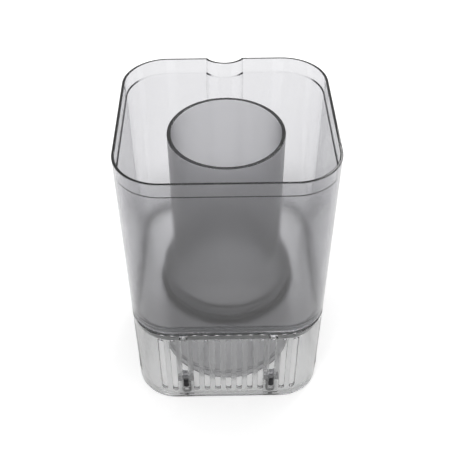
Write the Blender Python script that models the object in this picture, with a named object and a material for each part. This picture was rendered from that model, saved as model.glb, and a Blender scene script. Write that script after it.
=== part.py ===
"""Open canister of an aquarium filter: a square translucent tub with a riser tube, on a slotted strainer.

Metres, +Z up. The origin is the centre of the footprint, on the surface that the feet stand on.
-Y is the front. The hose groove runs down the middle of the back.
"""

import math

import bmesh
import bpy

MM = 0.001

# Overall size and plan shape.
WIDTH = 120.0 * MM
DEPTH = 117.6 * MM
HEIGHT = 186.0 * MM
CORNER_RADIUS = 26.0 * MM
CORNER_STEPS = 9
CLEARANCE = 0.3 * MM

# Half-round hose groove down the back wall.
GROOVE_RADIUS = 13.0 * MM
GROOVE_DEPTH = 5.3 * MM
GROOVE_STEPS = 8

# Tub: full-size walls above the parting line, a smaller plug below it.
PARTING_HEIGHT = 67.8 * MM
WALL = 2.2 * MM
RIM_WALL = 1.6 * MM
LEDGE_DROP = 8.8 * MM
PLUG_INSET = 2.6 * MM
FLOOR_TOP = 62.0 * MM
FLOOR_THICKNESS = 2.4 * MM
FLOOR_HOLE_RADIUS = 39.0 * MM

# Strainer: the slotted skirt that the tub stands in.
FOOT_GAP = 0.5 * MM
STRAINER_TOP = 65.6 * MM
LIP_WIDTH = 1.6 * MM
LIP_HEIGHT = 2.4 * MM
SLOT_WIDTH = 3.4 * MM
SLOT_PITCH = 6.9 * MM
SLOT_COUNT = 13
SLOT_BOTTOM = 8.9 * MM
SLOT_TOP = 60.4 * MM
SLOT_END_STEPS = 6
LATCH_SLOT = 4
WINDOW_WIDTH = 5.7 * MM
WINDOW_BOTTOM = 61.8 * MM
WINDOW_HEIGHT = 2.3 * MM

# Dark gasket on the parting line.
GASKET_THICKNESS = 1.6 * MM
GASKET_WIDTH = 1.8 * MM

# Riser tube: straight pipe that opens into a bell, which slips over the spigot and stands on the nut.
RISER_RADIUS = 33.4 * MM
RISER_WALL = 2.2 * MM
RISER_TOP = 174.5 * MM
RISER_BOTTOM = 64.6 * MM
BELL_RADIUS = 41.1 * MM
BELL_TOP = 91.5 * MM
BELL_BOTTOM = 69.2 * MM
BELL_STEPS = 8

# Socket neck: spigot up through the floor, wide cup below it.
SPIGOT_RADIUS = 38.6 * MM
SPIGOT_BORE_RADIUS = 36.7 * MM
SPIGOT_TOP = 69.6 * MM
NECK_RADIUS = 42.7 * MM
NECK_MOUTH_RADIUS = 44.8 * MM
NECK_WALL = 2.2 * MM
NECK_BOTTOM = 1.2 * MM
FLANGE_RADIUS = 43.9 * MM
FLANGE_THICKNESS = 2.0 * MM
FLOOR_SEAL_THICKNESS = 0.8 * MM
COLLAR_HEIGHT = 2.0 * MM
COLLAR_CHAMFER = 0.4 * MM

# Round seals.
RISER_SEAL_SECTION = 1.1 * MM
RISER_SEAL_HEIGHT = 67.0 * MM
NECK_SEAL_SECTION = 1.8 * MM
NECK_SEAL_HEIGHT = 7.0 * MM
SEAL_STEPS = 8

# Spring latches that hang from the tub's floor behind two slots of the front and of the back.
LATCH_WIDTH = 10.0 * MM
LATCH_THICKNESS = 1.6 * MM
LATCH_INSET = 5.2 * MM
LATCH_BOTTOM = 16.0 * MM
LATCH_WINDOW_WIDTH = 5.4 * MM
LATCH_WINDOW_BOTTOM = 21.0 * MM
LATCH_WINDOW_TOP = 57.0 * MM
TOE_HEIGHT = 3.0 * MM
TOE_REACH = 2.6 * MM

# Rubber feet, plugged into brackets inside the lip.
FOOT_INSET = 7.3 * MM
PAD_RADIUS = 3.1 * MM
PAD_HEIGHT = 1.2 * MM
STEM_RADIUS = 2.0 * MM
PLUG_HEAD_RADIUS = 2.8 * MM
PLUG_TOP = 11.6 * MM
BRACKET_WIDTH = 9.6 * MM
BRACKET_BOTTOM = 1.5 * MM
BRACKET_THICKNESS = 2.4 * MM
BRACKET_HOLE_RADIUS = 2.4 * MM

ROUND_STEPS = 64
SMALL_ROUND_STEPS = 16

HALF_WIDTH = WIDTH / 2
HALF_DEPTH = DEPTH / 2
LATCH_X = LATCH_SLOT * SLOT_PITCH
FLOOR_UNDERSIDE = FLOOR_TOP - FLOOR_THICKNESS


def make_material(name, colour, roughness, metallic=0.0, alpha=1.0):
    """One Principled material in the given colour."""
    material = bpy.data.materials.new(name)
    material.use_nodes = True
    shader = material.node_tree.nodes["Principled BSDF"]
    shader.inputs["Base Color"].default_value = (*colour, 1.0)
    shader.inputs["Roughness"].default_value = roughness
    shader.inputs["Metallic"].default_value = metallic
    shader.inputs["Alpha"].default_value = alpha
    return material


def make_object(name, mesh_builder, material, parent=None, sharp_angle=30.0):
    """Turn a bmesh into a named object whose faces point outwards."""
    bmesh.ops.recalc_face_normals(mesh_builder, faces=mesh_builder.faces)
    mesh = bpy.data.meshes.new(name)
    mesh_builder.to_mesh(mesh)
    mesh_builder.free()
    mesh.shade_smooth()
    mesh.set_sharp_from_angle(angle=math.radians(sharp_angle))
    part = bpy.data.objects.new(name, mesh)
    bpy.context.scene.collection.objects.link(part)
    if material:
        mesh.materials.append(material)
    part.parent = parent
    return part


def make_frame(name, parent=None):
    """Empty that carries the pieces of one moving group."""
    frame = bpy.data.objects.new(name, None)
    frame.empty_display_size = 10 * MM
    bpy.context.scene.collection.objects.link(frame)
    frame.parent = parent
    return frame


def cut(target, cutter, operation="DIFFERENCE"):
    """Cut one shape from another, or join it on."""
    modifier = target.modifiers.new(cutter.name, "BOOLEAN")
    modifier.operation = operation
    modifier.solver = "EXACT"
    modifier.object = cutter
    cutter.hide_render = True
    cutter.display_type = "WIRE"


def arc(centre_x, centre_y, radius, start, end, steps):
    """Points along an arc, both ends included. Angles are in degrees."""
    points = []
    for step in range(steps + 1):
        angle = math.radians(start + (end - start) * step / steps)
        points.append((centre_x + radius * math.cos(angle), centre_y + radius * math.sin(angle)))
    return points


def plan_outline(offset):
    """Plan of the canister, moved inwards by offset: a rounded square with the hose groove at +Y."""
    radius = CORNER_RADIUS - offset
    corner_x = HALF_WIDTH - CORNER_RADIUS
    corner_y = HALF_DEPTH - CORNER_RADIUS
    groove_radius = GROOVE_RADIUS + offset
    axis_distance = GROOVE_RADIUS - GROOVE_DEPTH + offset
    half_angle = math.degrees(math.acos(axis_distance / groove_radius))
    groove_centre_y = HALF_DEPTH + GROOVE_RADIUS - GROOVE_DEPTH
    points = arc(corner_x, corner_y, radius, 0, 90, CORNER_STEPS)
    points += arc(0, groove_centre_y, groove_radius, 270 + half_angle, 270 - half_angle, GROOVE_STEPS)
    points += arc(-corner_x, corner_y, radius, 90, 180, CORNER_STEPS)
    points += arc(-corner_x, -corner_y, radius, 180, 270, CORNER_STEPS)
    points += arc(corner_x, -corner_y, radius, 270, 360, CORNER_STEPS)
    return points


def loft(sections, closed):
    """Skin a chain of plan outlines, each given as (offset, height).

    A closed chain makes a ring; an open one is capped at both ends.
    """
    builder = bmesh.new()
    loops = []
    for offset, height in sections:
        loops.append([builder.verts.new((x, y, height)) for x, y in plan_outline(offset)])
    count = len(loops[0])
    pairs = list(zip(loops, loops[1:]))
    if closed:
        pairs.append((loops[-1], loops[0]))
    else:
        builder.faces.new(loops[0])
        builder.faces.new(loops[-1])
    for lower, upper in pairs:
        for index in range(count):
            following = (index + 1) % count
            builder.faces.new((lower[index], lower[following], upper[following], upper[index]))
    return builder


def turned(profile, steps=ROUND_STEPS, closed=True):
    """Turn a profile of (radius, height) points about the Z axis.

    A closed profile makes a ring. An open one starts and ends on the axis, at its first and last point.
    """
    builder = bmesh.new()
    rings = []
    for radius, height in profile:
        if radius == 0:
            rings.append([builder.verts.new((0, 0, height))])
            continue
        angles = [2 * math.pi * step / steps for step in range(steps)]
        rings.append([builder.verts.new((radius * math.cos(a), radius * math.sin(a), height)) for a in angles])
    pairs = list(zip(rings, rings[1:]))
    if closed:
        pairs.append((rings[-1], rings[0]))
    for lower, upper in pairs:
        for index in range(steps):
            following = (index + 1) % steps
            if len(lower) == 1:
                builder.faces.new((lower[0], upper[index], upper[following]))
            elif len(upper) == 1:
                builder.faces.new((lower[index], lower[following], upper[0]))
            else:
                builder.faces.new((lower[index], lower[following], upper[following], upper[index]))
    return builder


def add_prism(builder, outline, depth_from, depth_to, place):
    """Add a straight prism. place(u, v, depth) gives the corner for an outline point at a depth."""
    near = [builder.verts.new(place(u, v, depth_from)) for u, v in outline]
    far = [builder.verts.new(place(u, v, depth_to)) for u, v in outline]
    builder.faces.new(near)
    builder.faces.new(far)
    for index in range(len(outline)):
        following = (index + 1) % len(outline)
        builder.faces.new((near[index], near[following], far[following], far[index]))


def slot_outline(centre, width, bottom, top, steps=SLOT_END_STEPS):
    """Upright slot with round ends, as points in the plane of a wall."""
    radius = width / 2
    points = arc(centre, top - radius, radius, 0, 180, steps)
    points += arc(centre, bottom + radius, radius, 180, 360, steps)
    return points


def arched_outline(centre, width, bottom, height, steps=6):
    """Low opening with a flat sill and an arched top."""
    half = width / 2
    rise = height * 0.6
    radius = (half ** 2 + rise ** 2) / (2 * rise)
    half_angle = math.degrees(math.asin(half / radius))
    points = arc(centre, bottom + height - radius, radius, 90 - half_angle, 90 + half_angle, steps)
    points += [(centre - half, bottom), (centre + half, bottom)]
    return points


def on_front(u, v, depth):
    """Point of the front wall: u across, v up, depth inwards from the widest plan."""
    return (u, -HALF_DEPTH + depth, v)


def on_back(u, v, depth):
    """Point of the back wall."""
    return (-u, HALF_DEPTH - depth, v)


def on_left(u, v, depth):
    """Point of the left wall."""
    return (-HALF_WIDTH + depth, -u, v)


def on_right(u, v, depth):
    """Point of the right wall."""
    return (HALF_WIDTH - depth, u, v)


def slot_places():
    """Each slot's wall and its distance from the middle of that wall. The groove takes the back's middle."""
    middle = SLOT_COUNT // 2
    for wall in (on_front, on_back, on_left, on_right):
        for index in range(SLOT_COUNT):
            across = (index - middle) * SLOT_PITCH
            if wall is on_back and abs(across) < GROOVE_RADIUS:
                continue
            yield wall, across


def latch_places():
    """Name and wall of each latch and foot, with its distance from the middle of the wall."""
    return (
        ("front_left", on_front, -LATCH_X),
        ("front_right", on_front, LATCH_X),
        ("back_left", on_back, LATCH_X),
        ("back_right", on_back, -LATCH_X),
    )


def build_slot_cutter():
    """Every slot and every latch window of the strainer, as one set of cutting prisms."""
    builder = bmesh.new()
    for wall, across in slot_places():
        reach = 14 * MM
        add_prism(builder, slot_outline(across, SLOT_WIDTH, SLOT_BOTTOM, SLOT_TOP), -2 * MM, reach, wall)
    for _, wall, across in latch_places():
        outline = arched_outline(across, WINDOW_WIDTH, WINDOW_BOTTOM, WINDOW_HEIGHT)
        add_prism(builder, outline, -2 * MM, 4 * MM, wall)
    return make_object("cutter_slots", builder, None)


def build_bracket_blocks():
    """Four shelves that reach in from the lip to carry the feet."""
    builder = bmesh.new()
    half = BRACKET_WIDTH / 2
    top = BRACKET_BOTTOM + BRACKET_THICKNESS
    for _, wall, across in latch_places():
        outline = [
            (across - half, BRACKET_BOTTOM),
            (across + half, BRACKET_BOTTOM),
            (across + half, top),
            (across - half, top),
        ]
        add_prism(builder, outline, 1 * MM, FOOT_INSET + 5 * MM, wall)
    return make_object("joiner_brackets", builder, None)


def build_bracket_holes():
    """Holes through the shelves for the stems of the feet."""
    builder = bmesh.new()
    for _, wall, across in latch_places():
        centre_x, centre_y, _ = wall(across, 0, FOOT_INSET)
        outline = arc(0, 0, BRACKET_HOLE_RADIUS, 0, 360, SMALL_ROUND_STEPS)[:-1]

        def upright(u, v, depth, x=centre_x, y=centre_y):
            return (x + u, y + v, depth)

        add_prism(builder, outline, 0.8 * MM, 5 * MM, upright)
    return make_object("cutter_foot_holes", builder, None)


def build_strainer(material, parent):
    """Slotted skirt with a plain lip at its foot and the shelves for the feet."""
    sections = [
        (0, FOOT_GAP),
        (0, STRAINER_TOP),
        (WALL, STRAINER_TOP),
        (WALL, FOOT_GAP + LIP_HEIGHT),
        (WALL + LIP_WIDTH, FOOT_GAP + LIP_HEIGHT),
        (WALL + LIP_WIDTH, FOOT_GAP),
    ]
    strainer = make_object("strainer_base", loft(sections, closed=True), material, parent)
    cut(strainer, build_bracket_blocks(), "UNION")
    cut(strainer, build_slot_cutter())
    cut(strainer, build_bracket_holes())
    return strainer


def build_parting_gasket(material, parent):
    """Thin dark gasket between the strainer's top edge and the tub's shoulder."""
    bottom = STRAINER_TOP + CLEARANCE
    top = bottom + GASKET_THICKNESS
    outer = 0.2 * MM
    inner = outer + GASKET_WIDTH
    sections = [(outer, bottom), (outer, top), (inner, top), (inner, bottom)]
    return make_object("parting_gasket", loft(sections, closed=True), material, parent)


def build_tub(material, parent):
    """Square tub: thin rim above an inner ledge, shoulder on the parting line, plug and holed floor."""
    rim_break = 0.3 * MM
    ledge = HEIGHT - LEDGE_DROP
    step = WALL - RIM_WALL
    plug_inner = PLUG_INSET + WALL
    shoulder_top = PARTING_HEIGHT + FLOOR_THICKNESS
    sections = [
        (PLUG_INSET, FLOOR_UNDERSIDE),
        (PLUG_INSET, PARTING_HEIGHT),
        (0, PARTING_HEIGHT),
        (0, HEIGHT - rim_break),
        (rim_break, HEIGHT),
        (RIM_WALL - rim_break, HEIGHT),
        (RIM_WALL, HEIGHT - rim_break),
        (RIM_WALL, ledge),
        (WALL, ledge - step),
        (WALL, shoulder_top + WALL),
        (plug_inner, shoulder_top),
        (plug_inner, FLOOR_TOP),
    ]
    tub = make_object("canister_tub", loft(sections, closed=False), material, parent)
    hole = [(0, 0), (FLOOR_HOLE_RADIUS, 0), (FLOOR_HOLE_RADIUS, 4 * FLOOR_THICKNESS), (0, 4 * FLOOR_THICKNESS)]
    drill = make_object("cutter_floor_hole", turned(hole, closed=False), None)
    drill.location.z = FLOOR_UNDERSIDE - FLOOR_THICKNESS
    cut(tub, drill)
    return tub


def build_socket_neck(material, parent):
    """Neck through the floor: spigot above, flange under the floor, wide cup down to the base."""
    flange_top = FLOOR_UNDERSIDE - 2 * CLEARANCE - FLOOR_SEAL_THICKNESS
    flange_bottom = flange_top - FLANGE_THICKNESS
    shoulder = flange_bottom - NECK_WALL
    seal_reach = NECK_SEAL_SECTION / 2 + CLEARANCE
    taper = (NECK_MOUTH_RADIUS - NECK_RADIUS) / (flange_bottom - NECK_BOTTOM)

    def inner_radius(height):
        return NECK_MOUTH_RADIUS - NECK_WALL - taper * (height - NECK_BOTTOM)

    groove_radius = inner_radius(NECK_SEAL_HEIGHT) + 1.0 * MM
    profile = [
        (NECK_MOUTH_RADIUS, NECK_BOTTOM),
        (NECK_RADIUS, flange_bottom),
        (FLANGE_RADIUS, flange_bottom),
        (FLANGE_RADIUS, flange_top),
        (SPIGOT_RADIUS, flange_top),
        (SPIGOT_RADIUS, SPIGOT_TOP),
        (SPIGOT_BORE_RADIUS, SPIGOT_TOP),
        (SPIGOT_BORE_RADIUS, shoulder),
        (inner_radius(shoulder), shoulder),
        (inner_radius(NECK_SEAL_HEIGHT + seal_reach), NECK_SEAL_HEIGHT + seal_reach),
        (groove_radius, NECK_SEAL_HEIGHT + seal_reach),
        (groove_radius, NECK_SEAL_HEIGHT - seal_reach),
        (inner_radius(NECK_SEAL_HEIGHT - seal_reach), NECK_SEAL_HEIGHT - seal_reach),
        (inner_radius(NECK_BOTTOM), NECK_BOTTOM),
    ]
    make_object("socket_neck", turned(profile), material, parent)
    return groove_radius


def build_flat_ring(name, inner, outer, bottom, top, chamfer, material, parent):
    """Flat turned ring, with its top outer edge broken by a chamfer."""
    profile = [(inner, bottom), (outer, bottom), (outer, top - chamfer), (outer - chamfer, top), (inner, top)]
    return make_object(name, turned(profile), material, parent)


def build_round_seal(name, ring_radius, section, height, material, parent):
    """O-ring, lying flat."""
    profile = arc(ring_radius, height, section / 2, 0, 360, SEAL_STEPS)[:-1]
    return make_object(name, turned(profile), material, parent, sharp_angle=80)


def bell_curve():
    """Outside of the bell, from its foot up to the straight pipe: a smooth S in radius and height."""
    points = []
    for step in range(BELL_STEPS + 1):
        share = step / BELL_STEPS
        radius = RISER_RADIUS + (BELL_RADIUS - RISER_RADIUS) * (1 + math.cos(math.pi * share)) / 2
        points.append((radius, BELL_BOTTOM + (BELL_TOP - BELL_BOTTOM) * share))
    return points


def build_riser(material, parent):
    """Riser tube: straight pipe above, bell below with a seal groove inside its foot."""
    edge = 0.4 * MM
    bore = RISER_RADIUS - RISER_WALL
    bell_bore = BELL_RADIUS - RISER_WALL
    groove_radius = bell_bore + RISER_SEAL_SECTION
    groove_half = RISER_SEAL_SECTION / 2 + CLEARANCE
    curve = bell_curve()
    profile = [(BELL_RADIUS, RISER_BOTTOM)]
    profile += curve
    profile += [
        (RISER_RADIUS, RISER_TOP - edge),
        (RISER_RADIUS - edge, RISER_TOP),
        (bore + edge, RISER_TOP),
        (bore, RISER_TOP - edge),
    ]
    profile += [(radius - RISER_WALL, height) for radius, height in reversed(curve)]
    profile += [
        (bell_bore, RISER_SEAL_HEIGHT + groove_half),
        (groove_radius, RISER_SEAL_HEIGHT + groove_half),
        (groove_radius, RISER_SEAL_HEIGHT - groove_half),
        (bell_bore, RISER_SEAL_HEIGHT - groove_half),
        (bell_bore, RISER_BOTTOM),
    ]
    make_object("riser_tube", turned(profile), material, parent)
    return groove_radius


def build_latch(name, wall, across, material, parent):
    """Spring latch: a flat tongue with a long window and a toe that faces the wall.

    Its origin is its root, on the line that it bends about.
    """
    root_height = FLOOR_UNDERSIDE - CLEARANCE
    root_x, root_y, _ = wall(across, 0, LATCH_INSET + LATCH_THICKNESS / 2)
    outwards = -1 if root_y < 0 else 1
    half = LATCH_THICKNESS / 2
    drop = LATCH_BOTTOM - root_height
    side = [
        (-half, 0),
        (half, 0),
        (half, drop + TOE_HEIGHT + TOE_REACH),
        (half + TOE_REACH, drop + TOE_HEIGHT),
        (half + TOE_REACH, drop + TOE_HEIGHT * 0.4),
        (half + TOE_REACH * 0.4, drop),
        (-half, drop),
    ]

    def across_tongue(u, v, depth):
        return (depth, outwards * u, v)

    builder = bmesh.new()
    add_prism(builder, side, -LATCH_WIDTH / 2, LATCH_WIDTH / 2, across_tongue)
    latch = make_object(name, builder, material, parent)
    latch.location = (root_x, root_y, root_height)

    def through_tongue(u, v, depth):
        return (u, depth, v)

    opening = bmesh.new()
    bottom = LATCH_WINDOW_BOTTOM - root_height
    top = LATCH_WINDOW_TOP - root_height
    outline = slot_outline(0, LATCH_WINDOW_WIDTH, bottom, top)
    add_prism(opening, outline, -4 * MM, 4 * MM, through_tongue)
    window = make_object("cutter_" + name, opening, None)
    window.location = latch.location
    cut(latch, window)
    return latch


def build_foot(name, wall, across, material, parent):
    """Rubber foot: round pad below the shelf, stem through it, blunt head above it."""
    head_bottom = BRACKET_BOTTOM + BRACKET_THICKNESS + CLEARANCE
    head_round = 1.2 * MM
    profile = [
        (0, 0),
        (PAD_RADIUS - 0.3 * MM, 0),
        (PAD_RADIUS, 0.3 * MM),
        (PAD_RADIUS, PAD_HEIGHT),
        (STEM_RADIUS, PAD_HEIGHT),
        (STEM_RADIUS, head_bottom),
        (PLUG_HEAD_RADIUS, head_bottom),
        (PLUG_HEAD_RADIUS, PLUG_TOP - head_round),
        (PLUG_HEAD_RADIUS - head_round, PLUG_TOP),
        (0, PLUG_TOP),
    ]
    foot = make_object(name, turned(profile, SMALL_ROUND_STEPS, closed=False), material, parent)
    foot.location = wall(across, 0, FOOT_INSET)
    return foot


def clear_scene():
    """Start from an empty scene."""
    for item in list(bpy.data.objects):
        bpy.data.objects.remove(item, do_unlink=True)


def build_canister_filter():
    """Build every piece, grouped by what moves together."""
    clear_scene()
    smoke = make_material("smoke_plastic", (0.30, 0.30, 0.32), 0.12, alpha=0.5)
    clear = make_material("clear_plastic", (0.62, 0.62, 0.64), 0.2, alpha=0.55)
    rubber = make_material("black_rubber", (0.03, 0.03, 0.035), 0.6)

    strainer_frame = make_frame("strainer_frame")
    canister_frame = make_frame("canister_frame", strainer_frame)
    riser_frame = make_frame("riser_frame", canister_frame)

    build_strainer(clear, strainer_frame)
    build_parting_gasket(rubber, strainer_frame)
    for place, wall, across in latch_places():
        build_foot("foot_" + place, wall, across, rubber, strainer_frame)

    build_tub(smoke, canister_frame)
    seal_groove_radius = build_socket_neck(smoke, canister_frame)
    collar_bottom = FLOOR_TOP + CLEARANCE
    build_flat_ring(
        "collar_nut",
        SPIGOT_RADIUS + CLEARANCE,
        NECK_RADIUS,
        collar_bottom,
        collar_bottom + COLLAR_HEIGHT,
        COLLAR_CHAMFER,
        smoke,
        canister_frame,
    )
    seal_top = FLOOR_UNDERSIDE - CLEARANCE
    build_flat_ring(
        "floor_seal",
        SPIGOT_RADIUS + 0.5 * MM,
        FLANGE_RADIUS - CLEARANCE,
        seal_top - FLOOR_SEAL_THICKNESS,
        seal_top,
        0.1 * MM,
        rubber,
        canister_frame,
    )
    neck_seal_radius = seal_groove_radius - CLEARANCE - NECK_SEAL_SECTION / 2
    build_round_seal("neck_seal", neck_seal_radius, NECK_SEAL_SECTION, NECK_SEAL_HEIGHT, clear, canister_frame)
    for place, wall, across in latch_places():
        build_latch("latch_" + place, wall, across, smoke, canister_frame)

    groove_radius = build_riser(smoke, riser_frame)
    riser_seal_radius = groove_radius - 0.1 * MM - RISER_SEAL_SECTION / 2
    build_round_seal(
        "riser_seal", riser_seal_radius, RISER_SEAL_SECTION, RISER_SEAL_HEIGHT, rubber, riser_frame
    )


build_canister_filter()
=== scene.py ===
import math

import bmesh
import bpy
from mathutils import Matrix, Vector


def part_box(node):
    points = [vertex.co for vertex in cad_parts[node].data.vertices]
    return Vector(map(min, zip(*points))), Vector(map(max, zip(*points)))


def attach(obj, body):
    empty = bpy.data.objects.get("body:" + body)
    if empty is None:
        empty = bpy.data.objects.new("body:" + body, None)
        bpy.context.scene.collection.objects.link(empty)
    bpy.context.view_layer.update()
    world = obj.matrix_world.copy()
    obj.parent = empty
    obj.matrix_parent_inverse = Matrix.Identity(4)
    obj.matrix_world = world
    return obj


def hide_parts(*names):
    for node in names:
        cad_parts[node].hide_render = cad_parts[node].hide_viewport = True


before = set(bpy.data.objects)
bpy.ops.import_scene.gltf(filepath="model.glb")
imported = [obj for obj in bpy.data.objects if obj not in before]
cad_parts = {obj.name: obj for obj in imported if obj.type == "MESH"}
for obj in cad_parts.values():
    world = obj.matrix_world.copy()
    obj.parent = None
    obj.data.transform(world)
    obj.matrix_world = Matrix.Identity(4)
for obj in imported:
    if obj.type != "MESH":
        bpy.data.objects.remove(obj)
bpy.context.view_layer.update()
mm = 0.001

# camera, floor and light
camera = {"lens": 58.8, "sensor": 36.0, "distance": 0.4641, "elevation": 43.89, "turn": -0.75, "roll": -0.28,
          "aim": (-0.0004, 0.0, 0.1010)}
studio = {"worldStrength": 0.84, "floorSize": 40.0, "floorColour": (0.78, 0.78, 0.78),
          "floorGrain": (0.82, 0.82, 0.82), "floorRough": 0.75, "grainRough": 0.1, "grainScale": 90.0,
          "floorGlow": 0.34}
softBoxes = [
    {"name": "lightFront", "place": (-0.55, -0.75, 1.15), "size": 0.55, "power": 5.0},
    {"name": "lightBack", "place": (0.5, 0.9, 1.2), "size": 0.6, "power": 6.0},
]


def makeCamera():
    lens = bpy.data.cameras.new("camera")
    eye = bpy.data.objects.new("camera", lens)
    bpy.context.scene.collection.objects.link(eye)
    bpy.context.scene.camera = eye
    lens.sensor_width = camera["sensor"]
    lens.lens = camera["lens"]
    rise = math.radians(camera["elevation"])
    turn = Matrix.Rotation(math.radians(camera["turn"]), 4, "Z")
    back = turn @ Vector((0, -math.cos(rise), math.sin(rise)))
    aim = turn @ Vector(camera["aim"])
    look = (-back).to_track_quat("-Z", "Y").to_matrix().to_4x4()
    roll = Matrix.Rotation(math.radians(camera["roll"]), 4, "Z")
    eye.matrix_world = Matrix.Translation(aim + back * camera["distance"]) @ look @ roll


def makeStudio():
    scene = bpy.context.scene
    scene.view_settings.view_transform = "Standard"
    scene.cycles.max_bounces = 32
    scene.cycles.transmission_bounces = 32
    scene.cycles.glossy_bounces = 10
    world = bpy.data.worlds.new("paleWorld")
    scene.world = world
    world.use_nodes = True
    sky = world.node_tree.nodes["Background"]
    sky.inputs["Color"].default_value = (1, 1, 1, 1)
    sky.inputs["Strength"].default_value = studio["worldStrength"]
    for box in softBoxes:
        lamp = bpy.data.lights.new(box["name"], "AREA")
        lamp.size = box["size"]
        lamp.energy = box["power"]
        holder = bpy.data.objects.new(box["name"], lamp)
        scene.collection.objects.link(holder)
        place = Vector(box["place"])
        aim = (Vector(camera["aim"]) - place).to_track_quat("-Z", "Y")
        holder.matrix_world = Matrix.Translation(place) @ aim.to_matrix().to_4x4()
    bpy.ops.mesh.primitive_plane_add(size=studio["floorSize"], location=(0, 0, 0))
    floor = bpy.context.object
    floor.name = "floor"
    floor.data.materials.append(makeFloorFinish())


# shader building
class Sock:
    # a socket or a number, so that shader maths reads as plain expressions
    def __init__(self, sheet, value):
        self.sheet = sheet
        self.value = value

    def maths(self, operation, first, second):
        node = self.sheet.node("ShaderNodeMath", {"operation": operation}, {0: first, 1: second})
        return Sock(self.sheet, node.outputs[0])

    def __add__(self, other):
        return self.maths("ADD", self, other)

    def __radd__(self, other):
        return self.maths("ADD", other, self)

    def __sub__(self, other):
        return self.maths("SUBTRACT", self, other)

    def __rsub__(self, other):
        return self.maths("SUBTRACT", other, self)

    def __mul__(self, other):
        return self.maths("MULTIPLY", self, other)

    def __rmul__(self, other):
        return self.maths("MULTIPLY", other, self)

    def over(self, low, high):
        # 0 at low, 1 at high, smooth between
        node = self.sheet.node("ShaderNodeMapRange", {"interpolation_type": "SMOOTHSTEP"},
                               {"Value": self, "From Min": low, "From Max": high})
        return Sock(self.sheet, node.outputs["Result"])


class Finish:
    # one material and its nodes
    def __init__(self, name):
        self.material = bpy.data.materials.new(name)
        self.material.use_nodes = True
        self.tree = self.material.node_tree
        self.tree.nodes.clear()
        self.output = self.node("ShaderNodeOutputMaterial", {}, {})
        self.place = self.node("ShaderNodeTexCoord", {}, {}).outputs["Object"]

    def feed(self, socket, value):
        if isinstance(value, Sock):
            value = value.value
        if isinstance(value, bpy.types.NodeSocket):
            self.tree.links.new(value, socket)
        elif isinstance(value, tuple) and len(value) == 3 and socket.type == "RGBA":
            socket.default_value = (*value, 1.0)
        else:
            socket.default_value = value

    def node(self, kind, settings, sockets):
        node = self.tree.nodes.new(kind)
        for key, value in settings.items():
            setattr(node, key, value)
        for key, value in sockets.items():
            self.feed(node.inputs[key], value)
        return node

    def noise(self, scale, detail=3.0, stretch=(1, 1, 1), seed=0.0):
        # scale counts features per metre
        mapping = self.node("ShaderNodeMapping", {}, {
            "Vector": self.place, "Scale": stretch, "Location": (seed, seed * 0.7, seed * 1.3)})
        cloud = self.node("ShaderNodeTexNoise", {}, {
            "Vector": mapping.outputs[0], "Scale": scale, "Detail": detail})
        return Sock(self, cloud.outputs["Fac"])

    def height(self):
        split = self.node("ShaderNodeSeparateXYZ", {}, {"Vector": self.place})
        return Sock(self, split.outputs["Z"])

    def blend(self, amount, first, second):
        # inputs 6 and 7 and output 2 are the colour ones of a Mix node
        node = self.node("ShaderNodeMix", {"data_type": "RGBA"}, {"Factor": amount, 6: first, 7: second})
        return node.outputs[2]

    def bump(self, heights, distance):
        return self.node("ShaderNodeBump", {}, {"Height": heights, "Distance": distance}).outputs["Normal"]

    def plastic(self, **sockets):
        names = {"colour": "Base Color", "roughness": "Roughness", "normal": "Normal", "ior": "IOR",
                 "seeThrough": "Transmission Weight"}
        shader = self.node("ShaderNodeBsdfPrincipled", {},
                           {names[key]: value for key, value in sockets.items()})
        self.tree.links.new(shader.outputs[0], self.output.inputs["Surface"])
        return shader

    def absorb(self, colour, density):
        body = self.node("ShaderNodeVolumeAbsorption", {}, {"Color": colour, "Density": density})
        self.tree.links.new(body.outputs[0], self.output.inputs["Volume"])


def makeFloorFinish():
    finish = Finish("paleFloor")
    grain = finish.noise(studio["grainScale"])
    shader = finish.plastic(colour=finish.blend(grain, studio["floorColour"], studio["floorGrain"]),
                            roughness=studio["floorRough"] + studio["grainRough"] * grain)
    # the table is lit from below, so shadows on it stay faint
    shader.inputs["Emission Color"].default_value = (1, 1, 1, 1)
    shader.inputs["Emission Strength"].default_value = studio["floorGlow"]
    return finish.material


# the darker tint low on the wall is painted shade
smokeLook = {"absorbColour": (0.30, 0.295, 0.345), "absorbDensity": 120.0, "ior": 1.5,
             "rimRough": 0.06, "wallRough": 0.115, "shoulderRough": 0.3, "cloudRough": 0.08,
             "polishFrom": -0.4 * mm, "polishTo": 0.1 * mm, "shoulderFrom": 0.6 * mm, "shoulderTo": 2.4 * mm,
             "paleTint": (0.82, 0.82, 0.825), "paleTintLow": (0.79, 0.79, 0.80),
             "shadeTint": (0.60, 0.60, 0.605), "floorTint": (1.0, 1.0, 1.0),
             "noShadeAbove": 115 * mm, "fullShadeBelow": 76 * mm, "floorReach": 2 * mm,
             "cloudScale": 60.0, "flowScale": 35.0, "flowStretch": (1, 1, 0.15),
             "fineScale": 900.0, "fineShare": 0.1, "bump": 0.12 * mm}


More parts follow.
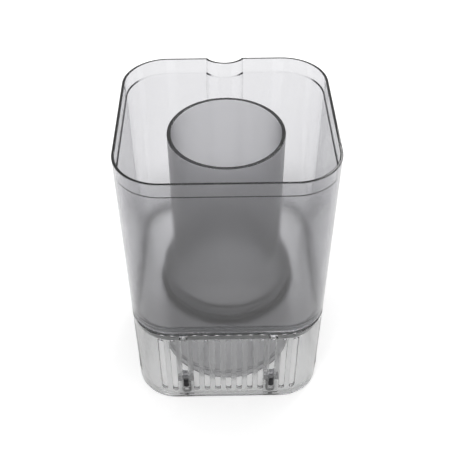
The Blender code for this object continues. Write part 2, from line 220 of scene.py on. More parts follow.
def makeSmokeFinish():
    # grey see-through plastic, polished at the rim and faintly frosted below the ledge
    finish = Finish("smokeWall")
    look = smokeLook
    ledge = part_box("canister_tub")[1].z - tub["ledgeDrop"]
    below = 1 - finish.height().over(ledge + look["polishFrom"], ledge + look["polishTo"])
    cloud = finish.noise(look["cloudScale"], 4.0)
    fine = finish.noise(look["fineScale"], 2.0, seed=3.0)
    flow = finish.noise(look["flowScale"], 2.0, stretch=look["flowStretch"], seed=7.0)
    roughness = look["rimRough"] + below * (look["wallRough"] - look["rimRough"])
    roughness = roughness + (cloud - 0.5) * look["cloudRough"]
    shoulder = 1 - finish.height().over(tub["parting"] + look["shoulderFrom"],
                                        tub["parting"] + look["shoulderTo"])
    roughness = roughness + shoulder * (look["shoulderRough"] - look["wallRough"])
    # painted shade: the wall's tint darkens towards the bottom, where the canister shades itself, and the
    # floor is kept at its plain tint
    wall = finish.blend(cloud, look["paleTintLow"], look["paleTint"])
    shadeMask = 1 - finish.height().over(look["fullShadeBelow"], look["noShadeAbove"])
    floor = 1 - finish.height().over(tub["floorTop"] + look["floorReach"], tub["parting"])
    tint = finish.blend(floor, finish.blend(shadeMask, wall, look["shadeTint"]), look["floorTint"])
    finish.plastic(colour=tint, roughness=roughness, ior=look["ior"], seeThrough=1.0,
                   normal=finish.bump(flow + look["fineShare"] * fine, look["bump"]))
    finish.absorb(look["absorbColour"], look["absorbDensity"])
    return finish.material


# the darker tints low on the tube, neck and gasket are painted shade
tubeLook = {"name": "smokeTube", "absorbColour": (0.30, 0.30, 0.325), "absorbDensity": 148.0, "ior": 1.5,
            "rough": 0.29, "rimRough": 0.05,
            "noShadeAbove": 140 * mm, "fullShadeBelow": 66 * mm, "shadeTint": (0.60, 0.60, 0.605)}
neckLook = {"name": "smokeNeck", "absorbColour": (0.30, 0.30, 0.325), "absorbDensity": 260.0, "ior": 1.5,
            "rough": 0.12, "rimRough": 0.12,
            "noShadeAbove": 60 * mm, "fullShadeBelow": 50 * mm, "shadeTint": (0.92, 0.92, 0.925)}
gasketLook = {"name": "smokeGasket", "absorbColour": (0.16, 0.16, 0.17), "absorbDensity": 700.0, "ior": 1.42,
              "rough": 0.35, "rimRough": 0.35,
              "noShadeAbove": 60 * mm, "fullShadeBelow": 50 * mm, "shadeTint": (0.9, 0.9, 0.9)}
turnedLook = {"cloudScale": 45.0, "cloudRough": 0.06, "flowScale": 60.0, "flowStretch": (1, 1, 0.1),
              "rimBlur": 0.6 * mm, "paleTintLow": (0.97, 0.97, 0.98), "paleTint": (1.0, 1.0, 1.0),
              "bump": 0.08 * mm}


def makeTubeFinish(look):
    # the same grey plastic with one gloss all over, with painted shade that darkens its tint towards the foot
    finish = Finish(look["name"])
    cloud = finish.noise(turnedLook["cloudScale"], 4.0, seed=2.0)
    flow = finish.noise(turnedLook["flowScale"], 2.0, stretch=turnedLook["flowStretch"], seed=5.0)
    rim = finish.height().over(riser["rimFrom"], riser["rimFrom"] + turnedLook["rimBlur"])
    roughness = look["rough"] + rim * (look["rimRough"] - look["rough"])
    roughness = roughness + (cloud - 0.5) * turnedLook["cloudRough"]
    # painted shade, darker towards the foot, where the canister around it shades it
    shadeMask = 1 - finish.height().over(look["fullShadeBelow"], look["noShadeAbove"])
    pale = finish.blend(cloud, turnedLook["paleTintLow"], turnedLook["paleTint"])
    finish.plastic(colour=finish.blend(shadeMask, pale, look["shadeTint"]), roughness=roughness, ior=look["ior"],
                   seeThrough=1.0, normal=finish.bump(flow, turnedLook["bump"]))
    finish.absorb(look["absorbColour"], look["absorbDensity"])
    return finish.material


clearLook = {"absorbColour": (0.46, 0.46, 0.46), "absorbDensity": 120.0, "ior": 1.5, "rough": 0.14,
             "cloudScale": 70.0, "cloudRough": 0.12, "grainScale": 1600.0, "bump": 0.03 * mm,
             "lowTint": (0.96, 0.97, 0.97), "highTint": (1.0, 1.0, 1.0)}


def makeClearFinish():
    # paler plastic of the strainer, with a satin moulded skin
    finish = Finish("clearSkirt")
    look = clearLook
    cloud = finish.noise(look["cloudScale"], 4.0, seed=1.0)
    grain = finish.noise(look["grainScale"], 2.0, seed=9.0)
    finish.plastic(colour=finish.blend(cloud, look["lowTint"], look["highTint"]),
                   roughness=look["rough"] + (cloud - 0.5) * look["cloudRough"], ior=look["ior"],
                   seeThrough=1.0, normal=finish.bump(grain, look["bump"]))
    finish.absorb(look["absorbColour"], look["absorbDensity"])
    return finish.material


rubberLook = {"dustScale": 220.0, "poreScale": 2500.0, "rough": 0.5, "dustRough": 0.2, "bump": 0.06 * mm,
              "darkTint": (0.018, 0.018, 0.02), "dustTint": (0.05, 0.05, 0.054)}


def makeRubberFinish():
    # matt moulded rubber with a little dust on it
    finish = Finish("blackRubber")
    look = rubberLook
    dust = finish.noise(look["dustScale"], 4.0)
    pores = finish.noise(look["poreScale"], 3.0, seed=4.0)
    finish.plastic(colour=finish.blend(dust, look["darkTint"], look["dustTint"]),
                   roughness=look["rough"] + look["dustRough"] * dust,
                   normal=finish.bump(pores, look["bump"]))
    return finish.material


# modelling by hand
work = {"near": 0.02 * mm, "close": 0.01 * mm, "weld": 0.002 * mm, "fine": 0.001 * mm}


def deselectAll():
    if bpy.context.object and bpy.context.object.mode != "OBJECT":
        bpy.ops.object.mode_set(mode="OBJECT")
    bpy.ops.object.select_all(action="DESELECT")


def focus(piece):
    deselectAll()
    piece.select_set(True)
    bpy.context.view_layer.objects.active = piece


def settle(piece):
    # bring the object's place, turn and size into its mesh
    focus(piece)
    bpy.ops.object.transform_apply(location=True, rotation=True, scale=True)


def addBlock(name, size, centre):
    deselectAll()
    bpy.ops.mesh.primitive_cube_add(size=1, location=centre)
    piece = bpy.context.object
    piece.name = name
    piece.scale = size
    settle(piece)
    return piece


def addDrum(name, radius, bottom, top, sides, centre=(0, 0)):
    deselectAll()
    bpy.ops.mesh.primitive_cylinder_add(vertices=sides, radius=radius, depth=top - bottom,
                                        location=(centre[0], centre[1], (bottom + top) / 2))
    piece = bpy.context.object
    piece.name = name
    settle(piece)
    return piece


def openMesh(piece, kind):
    focus(piece)
    bpy.ops.object.mode_set(mode="EDIT")
    bpy.ops.mesh.select_mode(type=kind)
    bpy.ops.mesh.select_all(action="DESELECT")


def closeMesh():
    bpy.ops.object.mode_set(mode="OBJECT")


def pickFaces(piece, wanted):
    bpy.ops.mesh.select_mode(type="FACE")
    bpy.ops.mesh.select_all(action="DESELECT")
    mesh = bmesh.from_edit_mesh(piece.data)
    for face in mesh.faces:
        if wanted(face.calc_center_median(), face.normal):
            face.select_set(True)
    bmesh.update_edit_mesh(piece.data)


def pickEdges(piece, wanted):
    bpy.ops.mesh.select_mode(type="EDGE")
    bpy.ops.mesh.select_all(action="DESELECT")
    mesh = bmesh.from_edit_mesh(piece.data)
    for edge in mesh.edges:
        if wanted(edge.verts[0].co, edge.verts[1].co):
            edge.select_set(True)
    bmesh.update_edit_mesh(piece.data)


def pickSharp(piece, angle, wanted=None):
    # edges whose two faces turn by more than the angle
    bpy.ops.mesh.select_mode(type="EDGE")
    bpy.ops.mesh.select_all(action="DESELECT")
    mesh = bmesh.from_edit_mesh(piece.data)
    for edge in mesh.edges:
        if len(edge.link_faces) != 2 or edge.calc_face_angle(0) < math.radians(angle):
            continue
        if wanted is None or wanted(edge.verts[0].co, edge.verts[1].co):
            edge.select_set(True)
    bmesh.update_edit_mesh(piece.data)


def insetBy(thickness, sink=0.0):
    bpy.ops.mesh.inset(thickness=thickness, depth=-sink, use_even_offset=True)


def extrudeBy(move):
    bpy.ops.mesh.extrude_region_move(TRANSFORM_OT_translate={"value": move})


def roundBy(width, segments):
    bpy.ops.mesh.bevel(offset=width, segments=segments, affect="EDGES", clamp_overlap=True)


def applyModifier(piece, kind, settings):
    focus(piece)
    modifier = piece.modifiers.new("step", kind)
    for key, value in settings.items():
        setattr(modifier, key, value)
    bpy.ops.object.modifier_apply(modifier=modifier.name)


def carve(piece, cutter):
    applyModifier(piece, "BOOLEAN", {"operation": "DIFFERENCE", "solver": "MANIFOLD", "object": cutter})
    bpy.data.objects.remove(cutter, do_unlink=True)


def weld(piece, other):
    applyModifier(piece, "BOOLEAN", {"operation": "UNION", "solver": "MANIFOLD", "object": other})
    bpy.data.objects.remove(other, do_unlink=True)


def cleanMesh(piece, reach):
    # merge what a cut or a bevel leaves closer together than the reach
    openMesh(piece, "VERT")
    bpy.ops.mesh.select_all(action="SELECT")
    bpy.ops.mesh.remove_doubles(threshold=reach)
    bpy.ops.mesh.dissolve_degenerate(threshold=reach)
    closeMesh()


def joinAll(pieces):
    deselectAll()
    for piece in pieces:
        piece.select_set(True)
    bpy.context.view_layer.objects.active = pieces[0]
    bpy.ops.object.join()
    return bpy.context.object


def copyOf(piece, name):
    twin = piece.copy()
    twin.data = piece.data.copy()
    twin.name = name
    bpy.context.scene.collection.objects.link(twin)
    return twin


def finishPiece(piece, finish, angle=35.0):
    focus(piece)
    bpy.ops.object.shade_smooth_by_angle(angle=math.radians(angle))
    applyModifier(piece, "WEIGHTED_NORMAL", {"keep_sharp": True, "weight": 50})
    piece.data.materials.clear()
    piece.data.materials.append(finish)


def turnProfile(name, profile, sides, ring=True):
    # draw the profile point by point in the XZ plane, then spin it round the Z axis
    deselectAll()
    radius, height = profile[0]
    bpy.ops.mesh.primitive_plane_add(size=1 * mm, location=(radius, 0, height))
    piece = bpy.context.object
    piece.name = name
    settle(piece)
    openMesh(piece, "VERT")
    bpy.ops.mesh.select_all(action="SELECT")
    bpy.ops.mesh.merge(type="CENTER")
    for (fromRadius, fromHeight), (toRadius, toHeight) in zip(profile, profile[1:]):
        extrudeBy((toRadius - fromRadius, 0, toHeight - fromHeight))
    if ring:
        mesh = bmesh.from_edit_mesh(piece.data)
        bpy.ops.mesh.select_all(action="DESELECT")
        for vertex in mesh.verts:
            if len(vertex.link_edges) == 1:
                vertex.select_set(True)
        bmesh.update_edit_mesh(piece.data)
        bpy.ops.mesh.edge_face_add()
    bpy.ops.mesh.select_all(action="SELECT")
    bpy.ops.mesh.spin(steps=sides, angle=2 * math.pi, center=(0, 0, 0), axis=(0, 0, 1))
    bpy.ops.mesh.select_all(action="SELECT")
    bpy.ops.mesh.remove_doubles(threshold=work["weld"])
    bpy.ops.mesh.normals_make_consistent(inside=False)
    closeMesh()
    return piece


# the plan of the canister
tubLow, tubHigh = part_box("canister_tub")
skirtLow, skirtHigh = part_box("strainer_base")
plan = {"cornerRadius": 26.0 * mm, "cornerSteps": 18, "grooveRadius": 13.0 * mm, "grooveDepth": 5.3 * mm,
        "grooveSides": 96, "ribSink": 0.7 * mm, "spare": 2.0 * mm, "slice": 20 * mm, "middle": 25 * mm}
halfWidth = tubHigh.x
halfDepth = tubHigh.y
grooveY = halfDepth + plan["grooveRadius"] - plan["grooveDepth"]


def addPlanBlock(name, inset, bottom, top):
    # rounded square, moved inwards by inset, still without its hose groove
    block = addBlock(name, (2 * (halfWidth - inset), 2 * (halfDepth - inset), top - bottom),
                     (0, 0, (bottom + top) / 2))
    openMesh(block, "EDGE")
    pickEdges(block, lambda a, b: abs(a.z - b.z) > 0.5 * (top - bottom))
    roundBy(plan["cornerRadius"] - inset, plan["cornerSteps"])
    closeMesh()
    return block


def addColumn(name, steps):
    # upright round column on the groove's axis, its steps given as (distance from the groove's wall, height)
    profile = [(plan["grooveRadius"] + depth, height) for depth, height in steps]
    profile = [(0, steps[0][1])] + profile + [(0, steps[-1][1])]
    column = turnProfile(name, profile, plan["grooveSides"], ring=False)
    column.location.y = grooveY
    settle(column)
    return column


def sliceOff(shell, height, direction):
    # cut away all that is above the height, or below it
    depth = plan["slice"]
    carve(shell, addBlock("slice", (4 * halfWidth, 4 * halfDepth, depth),
                          (0, 0, height + direction * depth / 2)))


def addGroove(shell, ribSteps, cutSteps, bottom, top):
    # a rib stands inside the back wall, and the groove is cut into it from outside
    rib = addColumn("rib", ribSteps)
    openMesh(rib, "FACE")
    bpy.ops.mesh.select_all(action="SELECT")
    bpy.ops.mesh.bisect(plane_co=(0, halfDepth - plan["ribSink"], 0), plane_no=(0, 1, 0), use_fill=True,
                        clear_outer=True)
    closeMesh()
    weld(shell, rib)
    carve(shell, addColumn("groove", cutSteps))
    sliceOff(shell, top, 1)
    sliceOff(shell, bottom, -1)


def facing(direction, height):
    return lambda centre, normal: normal.z * direction > 0.9 and abs(centre.z - height) < work["near"]


def middleFaces(centre, normal):
    # the flat faces in the middle of a block, which bridging joins into a hole
    return abs(normal.z) > 0.9 and abs(centre.x) < plan["middle"] and abs(centre.y) < plan["middle"]


def ringAt(height):
    return lambda a, b: abs(a.z - height) < work["near"] and abs(b.z - height) < work["near"]


# tub
tub = {"rimWall": 1.6 * mm, "wall": 2.2 * mm, "ledgeDrop": 8.8 * mm, "ledgeSink": 0.9 * mm,
       "parting": 67.8 * mm, "plugInset": 2.6 * mm, "floorTop": 62.0 * mm, "shoulder": 70.2 * mm,
       "holeRadius": 39.0 * mm, "holeSides": 128, "holeSpare": 5 * mm,
       "rimRound": 0.45 * mm, "ledgeRound": 0.08 * mm, "edgeRound": 0.3 * mm, "plugRound": 0.6 * mm,
       "shoulderRound": 0.3 * mm, "floorRound": 0.6 * mm}


def outsideHole(height):
    # edges at a height that run round the plan, not round the floor's hole
    level = ringAt(height)
    return lambda a, b: level(a, b) and a.xy.length > tub["holeRadius"] + mm


def makeTub(finish):
    top = tubHigh.z
    floorUnder = tubLow.z
    ledge = top - tub["ledgeDrop"]
    step = tub["wall"] - tub["rimWall"]
    spare = plan["spare"]
    shell = addPlanBlock("tubShell", 0.0, tub["parting"], top + spare)
    openMesh(shell, "FACE")
    pickFaces(shell, facing(1, top + spare))
    insetBy(tub["rimWall"])
    extrudeBy((0, 0, ledge - top - spare))
    insetBy(step, tub["ledgeSink"])
    extrudeBy((0, 0, tub["shoulder"] + tub["wall"] - (ledge - tub["ledgeSink"])))
    insetBy(tub["plugInset"], tub["wall"])
    extrudeBy((0, 0, tub["floorTop"] - tub["shoulder"]))
    pickFaces(shell, facing(-1, tub["parting"]))
    insetBy(tub["plugInset"])
    extrudeBy((0, 0, floorUnder - tub["parting"]))
    closeMesh()
    inside = tub["wall"] + tub["plugInset"]
    addGroove(
        shell,
        [(inside, floorUnder + mm), (inside, tub["shoulder"]), (tub["wall"], tub["shoulder"] + tub["wall"]),
         (tub["wall"], ledge - tub["ledgeSink"]), (tub["rimWall"], ledge), (tub["rimWall"], top + 2 * spare)],
        [(tub["plugInset"], floorUnder - spare), (tub["plugInset"], tub["parting"]), (0, tub["parting"]),
         (0, top + 3 * spare)],
        floorUnder, top)
    carve(shell, addDrum("hole", tub["holeRadius"], floorUnder - tub["holeSpare"],
                         tub["floorTop"] + tub["holeSpare"], tub["holeSides"]))
    openMesh(shell, "EDGE")
    pickSharp(shell, 30, ringAt(top))
    roundBy(tub["rimRound"], 3)
    pickSharp(shell, 30, outsideHole(tub["floorTop"]))
    roundBy(tub["floorRound"], 4)
    pickSharp(shell, 30, outsideHole(floorUnder))
    roundBy(tub["plugRound"], 2)
    for height in (ledge, ledge - tub["ledgeSink"]):
        pickSharp(shell, 20, ringAt(height))
        roundBy(tub["ledgeRound"], 2)
    for height in (tub["shoulder"] + tub["wall"], tub["shoulder"]):
        pickSharp(shell, 30, ringAt(height))
        roundBy(tub["shoulderRound"], 4)
    pickSharp(shell, 30, ringAt(tub["parting"]))
    roundBy(tub["edgeRound"], 2)
    closeMesh()
    cleanMesh(shell, work["fine"])
    finishPiece(shell, finish)
    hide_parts("canister_tub")
    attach(shell, "canister")


# strainer
skirt = {"wall": 2.2 * mm, "lipWidth": 1.6 * mm, "lipHeight": 2.4 * mm, "slotWidth": 3.4 * mm,
         "slotPitch": 6.9 * mm, "slotBottom": 8.9 * mm, "slotTop": 60.4 * mm, "slotsEachSide": 6,
         "slotRound": 0.44, "slotSteps": 7, "slotEdge": 0.22 * mm, "slotDepth": 20 * mm, "slotReach": 4 * mm,
         "windowWidth": 5.7 * mm, "windowBottom": 61.8 * mm, "windowHeight": 2.3 * mm, "windowDepth": 4 * mm,
         "latchSlot": 4, "topRound": 0.3 * mm, "footRound": 0.5 * mm}
latchX = skirt["latchSlot"] * skirt["slotPitch"]


def addSlotCutter(width, bottom, top, low, high, name="window"):
    # upright slot with round ends that runs from low to high along Y
    cutter = addBlock(name, (width, high - low, top - bottom), (0, (low + high) / 2, (bottom + top) / 2))
    openMesh(cutter, "EDGE")
    pickEdges(cutter, lambda a, b: abs(a.y - b.y) > 0.5 * (high - low))
    roundBy(min(width, top - bottom) * skirt["slotRound"], skirt["slotSteps"])
    closeMesh()
    return cutter


def addFlaredCutter(name, width, bottom, height, depth):
    # a slot cutter for a wall whose outer face is at Y = 0, wider there so that the cut's edge is broken
    edge = skirt["slotEdge"]
    cutter = addSlotCutter(width, bottom, bottom + height, edge, depth, name)
    openMesh(cutter, "FACE")
    pickFaces(cutter, lambda centre, normal: normal.y < -0.9)
    extrudeBy((0, -2 * edge, 0))
    bpy.ops.transform.resize(value=((width + 4 * edge) / width, 1, (height + 4 * edge) / height),
                             center_override=(0, 0, bottom + height / 2))
    extrudeBy((0, -skirt["slotReach"], 0))
    closeMesh()
    return cutter


def placeCopy(piece, name, move, turn=0.0):
    twin = copyOf(piece, name)
    twin.matrix_world = Matrix.Translation(move) @ Matrix.Rotation(turn, 4, "Z")
    settle(twin)
    return twin


def makeSlotCutters():
    slot = addFlaredCutter("slot", skirt["slotWidth"], skirt["slotBottom"],
                           skirt["slotTop"] - skirt["slotBottom"], skirt["slotDepth"])
    window = addFlaredCutter("window", skirt["windowWidth"], skirt["windowBottom"], skirt["windowHeight"],
                             skirt["windowDepth"])
    cutters = []
    for step in range(-skirt["slotsEachSide"], skirt["slotsEachSide"] + 1):
        place = step * skirt["slotPitch"]
        cutters.append(placeCopy(slot, "slotFront", (place, -halfDepth, 0)))
        cutters.append(placeCopy(slot, "slotLeft", (-halfWidth, place, 0), -math.pi / 2))
        cutters.append(placeCopy(slot, "slotRight", (halfWidth, place, 0), math.pi / 2))
        if abs(place) > plan["grooveRadius"]:
            cutters.append(placeCopy(slot, "slotBack", (place, halfDepth, 0), math.pi))
    for side in (-1, 1):
        cutters.append(placeCopy(window, "windowFront", (side * latchX, -halfDepth, 0)))
        cutters.append(placeCopy(window, "windowBack", (side * latchX, halfDepth, 0), math.pi))
    for pattern in (slot, window):
        bpy.data.objects.remove(pattern, do_unlink=True)
    return joinAll(cutters)


# shelves inside the front and back walls that hold the feet
bracket = {"width": 9.6 * mm, "bottom": 1.5 * mm, "thickness": 2.4 * mm, "reach": 12.3 * mm,
           "wallSink": 1 * mm, "cornerRound": 2.0 * mm, "cornerSteps": 5,
           "holeRadius": 2.4 * mm, "holeTop": 6 * mm, "holeSides": 32, "holeY": 51.5 * mm}


def addBrackets(shell):
    for side in (-1, 1):
        for wall in (-1, 1):
            inner = wall * (halfDepth - bracket["reach"])
            outer = wall * (halfDepth - bracket["wallSink"])
            middle = (side * latchX, (inner + outer) / 2, bracket["bottom"] + bracket["thickness"] / 2)
            shelf = addBlock("shelf", (bracket["width"], abs(outer - inner), bracket["thickness"]), middle)
            openMesh(shelf, "EDGE")
            pickEdges(shelf, lambda a, b: abs(a.z - b.z) > mm and abs(a.y - inner) < mm)
            roundBy(bracket["cornerRound"], bracket["cornerSteps"])
            closeMesh()
            weld(shell, shelf)
            carve(shell, addDrum("footHole", bracket["holeRadius"], 0, bracket["holeTop"],
                                 bracket["holeSides"], (side * latchX, wall * bracket["holeY"])))


def makeSkirt(finish):
    bottom = skirtLow.z
    top = skirtHigh.z
    lipTop = bottom + skirt["lipHeight"]
    spare = plan["spare"]
    shell = addPlanBlock("strainerSkirt", 0.0, bottom - spare, top + spare)
    openMesh(shell, "FACE")
    pickFaces(shell, facing(1, top + spare))
    insetBy(skirt["wall"])
    extrudeBy((0, 0, lipTop - top - spare))
    insetBy(skirt["lipWidth"])
    pickFaces(shell, facing(-1, bottom - spare))
    insetBy(skirt["wall"] + skirt["lipWidth"])
    pickFaces(shell, middleFaces)
    bpy.ops.mesh.bridge_edge_loops()
    closeMesh()
    inside = skirt["wall"] + skirt["lipWidth"]
    addGroove(
        shell,
        [(inside, bottom - 2 * spare), (inside, lipTop), (skirt["wall"], lipTop),
         (skirt["wall"], top + 2 * spare)],
        [(0, bottom - 3 * spare), (0, top + 3 * spare)],
        bottom, top)
    openMesh(shell, "EDGE")
    pickSharp(shell, 30, ringAt(bottom))
    roundBy(skirt["footRound"], 3)
    pickSharp(shell, 30, ringAt(top))
    roundBy(skirt["topRound"], 3)
    closeMesh()
    cleanMesh(shell, work["near"])
    addBrackets(shell)
    carve(shell, makeSlotCutters())
    cleanMesh(shell, work["near"])
    finishPiece(shell, finish)
    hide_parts("strainer_base")
    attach(shell, "strainer")


# gasket
gasket = {"inset": 0.2 * mm, "width": 1.8 * mm, "round": 0.12 * mm}


def makeGasket(finish):
    low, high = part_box("parting_gasket")
    spare = plan["spare"]
    band = addPlanBlock("partingGasket", gasket["inset"], low.z - spare, high.z + spare)
    openMesh(band, "FACE")
    pickFaces(band, facing(1, high.z + spare))
    insetBy(gasket["width"])
    pickFaces(band, facing(-1, low.z - spare))
    insetBy(gasket["width"])
    pickFaces(band, middleFaces)
    bpy.ops.mesh.bridge_edge_loops()
    closeMesh()
    inside = gasket["inset"] + gasket["width"]
    addGroove(
        band,
        [(inside, low.z - 2 * spare), (inside, high.z + 2 * spare)],
        [(gasket["inset"], low.z - 3 * spare), (gasket["inset"], high.z + 3 * spare)],
        low.z, high.z)
    openMesh(band, "EDGE")
    pickSharp(band, 60)
    roundBy(gasket["round"], 2)
    closeMesh()
    finishPiece(band, finish)
    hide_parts("parting_gasket")
    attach(band, "strainer")


# turned pieces
riser = {"radius": 33.4 * mm, "wall": 2.2 * mm, "bellRadius": 41.1 * mm, "bellTop": 91.5 * mm,
         "bellBottom": 69.2 * mm, "bellSteps": 20, "sealHeight": 67.0 * mm, "grooveDepth": 1.1 * mm,
         "grooveHalf": 0.85 * mm, "rimFrom": 173.2 * mm, "edgeRound": 0.4 * mm, "sides": 160}


def makeRiser(finish):
    low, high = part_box("riser_tube")
    curve = []
    for step in range(riser["bellSteps"] + 1):
        share = step / riser["bellSteps"]
        swell = (riser["bellRadius"] - riser["radius"]) * (1 + math.cos(math.pi * share)) / 2
        height = riser["bellBottom"] + (riser["bellTop"] - riser["bellBottom"]) * share
        curve.append((riser["radius"] + swell, height))
    bore = riser["bellRadius"] - riser["wall"]
    groove = bore + riser["grooveDepth"]
    sealTop = riser["sealHeight"] + riser["grooveHalf"]
    sealLow = riser["sealHeight"] - riser["grooveHalf"]
    profile = [(riser["bellRadius"], low.z)] + curve + [(riser["radius"], high.z),
                                                        (riser["radius"] - riser["wall"], high.z)]
    profile += [(radius - riser["wall"], height) for radius, height in reversed(curve)]
    profile += [(bore, sealTop), (groove, sealTop), (groove, sealLow), (bore, sealLow), (bore, low.z)]
    tube = turnProfile("riserTube", profile, riser["sides"])
    openMesh(tube, "EDGE")
    pickSharp(tube, 60)
    roundBy(riser["edgeRound"], 3)
    closeMesh()
    finishPiece(tube, finish)
    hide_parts("riser_tube")
    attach(tube, "riser")


neck = {"spigotRadius": 38.6 * mm, "spigotBore": 36.7 * mm, "radius": 42.7 * mm, "mouthRadius": 44.8 * mm,
        "wall": 2.2 * mm, "flangeRadius": 43.9 * mm, "flange": 2.0 * mm, "flangeTop": 58.2 * mm,
        "sealHeight": 7.0 * mm, "sealReach": 1.2 * mm, "sealDepth": 1.0 * mm,
        "edgeRound": 0.3 * mm, "sides": 144}


def makeNeck(finish):
    low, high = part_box("socket_neck")
    flangeLow = neck["flangeTop"] - neck["flange"]
    shoulder = flangeLow - neck["wall"]
    taper = (neck["mouthRadius"] - neck["radius"]) / (flangeLow - low.z)

    def inner(height):
        return neck["mouthRadius"] - neck["wall"] - taper * (height - low.z)

    sealTop = neck["sealHeight"] + neck["sealReach"]
    sealLow = neck["sealHeight"] - neck["sealReach"]
    grooveRadius = inner(neck["sealHeight"]) + neck["sealDepth"]
    profile = [(neck["mouthRadius"], low.z), (neck["radius"], flangeLow), (neck["flangeRadius"], flangeLow),
               (neck["flangeRadius"], neck["flangeTop"]), (neck["spigotRadius"], neck["flangeTop"]),
               (neck["spigotRadius"], high.z), (neck["spigotBore"], high.z), (neck["spigotBore"], shoulder),
               (inner(shoulder), shoulder), (inner(sealTop), sealTop), (grooveRadius, sealTop),
               (grooveRadius, sealLow), (inner(sealLow), sealLow), (inner(low.z), low.z)]
    cup = turnProfile("socketNeck", profile, neck["sides"])
    openMesh(cup, "EDGE")
    pickSharp(cup, 60)
    roundBy(neck["edgeRound"], 3)
    closeMesh()
    finishPiece(cup, finish)
    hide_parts("socket_neck")
    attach(cup, "canister")


collar = {"inner": 38.9 * mm, "outer": 42.7 * mm, "chamfer": 0.4 * mm, "edgeRound": 0.2 * mm}


def makeCollar(finish):
    low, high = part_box("collar_nut")
    profile = [(collar["inner"], low.z), (collar["outer"], low.z),
               (collar["outer"], high.z - collar["chamfer"]), (collar["outer"] - collar["chamfer"], high.z),
               (collar["inner"], high.z)]
    nut = turnProfile("collarNut", profile, neck["sides"])
    openMesh(nut, "EDGE")
    pickSharp(nut, 30)
    roundBy(collar["edgeRound"], 2)
    closeMesh()
    finishPiece(nut, finish)
    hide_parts("collar_nut")
    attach(nut, "canister")


seals = {"washerGap": 0.5 * mm, "washerRound": 0.15 * mm, "ringSides": 128, "sectionSides": 20}


def makeWasher(name, node):
    low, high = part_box(node)
    inner = neck["spigotRadius"] + seals["washerGap"]
    profile = [(inner, low.z), (high.x, low.z), (high.x, high.z), (inner, high.z)]
    washer = turnProfile(name, profile, neck["sides"])
    openMesh(washer, "EDGE")
    pickSharp(washer, 60)
    roundBy(seals["washerRound"], 2)
    closeMesh()
    return washer


def makeSealRing(name, node):
    # a round section on its edge, spun round the Z axis
    low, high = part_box(node)
    section = (high.z - low.z) / 2
    centre = (high.x - section, 0, (low.z + high.z) / 2)
    deselectAll()
    bpy.ops.mesh.primitive_circle_add(vertices=seals["sectionSides"], radius=section, location=centre,
                                      rotation=(math.pi / 2, 0, 0))
    ring = bpy.context.object
    ring.name = name
    settle(ring)
    openMesh(ring, "VERT")
    bpy.ops.mesh.select_all(action="SELECT")
    bpy.ops.mesh.spin(steps=seals["ringSides"], angle=2 * math.pi, center=(0, 0, 0), axis=(0, 0, 1))
    bpy.ops.mesh.select_all(action="SELECT")
    bpy.ops.mesh.remove_doubles(threshold=work["weld"])
    bpy.ops.mesh.normals_make_consistent(inside=False)
    closeMesh()
    return ring


def makeSeals(rubber, clear):
    rows = [
        (makeWasher("floorSeal", "floor_seal"), "floor_seal", "canister", rubber, "black_rubber"),
        (makeSealRing("neckSeal", "neck_seal"), "neck_seal", "canister", clear, "clear_plastic"),
        (makeSealRing("riserSeal", "riser_seal"), "riser_seal", "riser", rubber, "black_rubber"),
    ]
    for piece, node, body, finish, slot in rows:
        finishPiece(piece, finish, 50)
        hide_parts(node)
        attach(piece, body)


# latches and feet
latch = {"thickness": 1.6 * mm, "windowWidth": 5.4 * mm, "windowBottom": 21.0 * mm, "windowTop": 57.0 * mm,
         "windowSpare": 5 * mm, "toeHeight": 3.0 * mm, "toeReach": 2.6 * mm, "toeRound": 1.2 * mm,
         "edgeRound": 0.3 * mm}


def rowAt(y, z):
    # edges that lie along X at a depth and a height
    near = 0.1 * mm
    return lambda a, b: (abs(a.y - y) < near and abs(b.y - y) < near
                         and abs(a.z - z) < near and abs(b.z - z) < near)


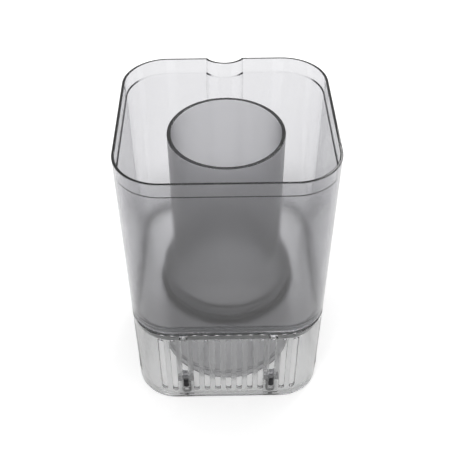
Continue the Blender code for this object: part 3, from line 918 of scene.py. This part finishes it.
def makeLatches(finish):
    for wall, word in ((-1, "front"), (1, "back")):
        for side, hand in ((-1, "left"), (1, "right")):
            node = "latch_" + word + "_" + hand
            low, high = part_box(node)
            toeY = low.y if wall < 0 else high.y
            outer = toeY - wall * latch["toeReach"]
            centreY = outer - wall * latch["thickness"] / 2
            toeTop = low.z + latch["toeHeight"]
            slopeTop = toeTop + latch["toeReach"]
            tongue = addBlock("latch" + word.capitalize() + hand.capitalize(),
                              (high.x - low.x, latch["thickness"], high.z - low.z),
                              ((low.x + high.x) / 2, centreY, (low.z + high.z) / 2))
            openMesh(tongue, "FACE")
            for height in (slopeTop, toeTop):
                bpy.ops.mesh.select_all(action="SELECT")
                bpy.ops.mesh.bisect(plane_co=(0, 0, height), plane_no=(0, 0, 1))
            pickFaces(tongue, lambda centre, normal: normal.y * wall > 0.9 and centre.z < slopeTop)
            extrudeBy((0, wall * latch["toeReach"], 0))
            pickEdges(tongue, rowAt(toeY, slopeTop))
            bpy.ops.transform.translate(value=(0, -wall * latch["toeReach"], 0))
            bpy.ops.mesh.select_all(action="SELECT")
            bpy.ops.mesh.remove_doubles(threshold=work["close"])
            pickEdges(tongue, rowAt(toeY, low.z))
            roundBy(latch["toeRound"], 3)
            closeMesh()
            window = addSlotCutter(latch["windowWidth"], latch["windowBottom"], latch["windowTop"],
                                   centreY - latch["windowSpare"], centreY + latch["windowSpare"])
            window.location.x = (low.x + high.x) / 2
            settle(window)
            carve(tongue, window)
            applyModifier(tongue, "BEVEL", {"width": latch["edgeRound"], "segments": 2,
                                            "limit_method": "ANGLE", "angle_limit": math.radians(50),
                                            "use_clamp_overlap": True})
            finishPiece(tongue, finish)
            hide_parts(node)
            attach(tongue, "latch_" + word[0] + hand[0])


foot = {"padHeight": 1.2 * mm, "stemRadius": 2.0 * mm, "headBottom": 4.2 * mm, "headRadius": 2.8 * mm,
        "headTaper": 1.2 * mm, "edgeRound": 0.3 * mm, "sides": 40}


def makeFeet(finish):
    low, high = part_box("foot_front_left")
    padRadius = (high.x - low.x) / 2
    taper = foot["headTaper"]
    profile = [(0, low.z), (padRadius, low.z), (padRadius, foot["padHeight"]),
               (foot["stemRadius"], foot["padHeight"]), (foot["stemRadius"], foot["headBottom"]),
               (foot["headRadius"], foot["headBottom"]), (foot["headRadius"], high.z - taper),
               (foot["headRadius"] - taper, high.z), (0, high.z)]
    pattern = turnProfile("foot", profile, foot["sides"], ring=False)
    openMesh(pattern, "EDGE")
    pickSharp(pattern, 30)
    roundBy(foot["edgeRound"], 3)
    closeMesh()
    for word in ("front", "back"):
        for hand in ("left", "right"):
            node = "foot_" + word + "_" + hand
            low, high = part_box(node)
            pad = placeCopy(pattern, "foot" + word.capitalize() + hand.capitalize(),
                            ((low.x + high.x) / 2, (low.y + high.y) / 2, 0))
            finishPiece(pad, finish)
            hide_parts(node)
            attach(pad, "strainer")
    bpy.data.objects.remove(pattern, do_unlink=True)


# everything in order
makeCamera()
makeStudio()
print("camera, floor and light are in place")
smokeWall = makeSmokeFinish()
smokeTube = makeTubeFinish(tubeLook)
smokeNeck = makeTubeFinish(neckLook)
smokeGasket = makeTubeFinish(gasketLook)
clearSkirt = makeClearFinish()
blackRubber = makeRubberFinish()
print("finishes are ready")
makeTub(smokeWall)
print("tub is modelled")
makeSkirt(clearSkirt)
makeGasket(smokeGasket)
print("strainer is modelled")
makeRiser(smokeTube)
makeNeck(smokeNeck)
makeCollar(smokeGasket)
makeSeals(blackRubber, clearSkirt)
print("riser, neck, collar and seals are turned")
makeLatches(smokeNeck)
makeFeet(blackRubber)
print("latches and feet are modelled")
deselectAll()
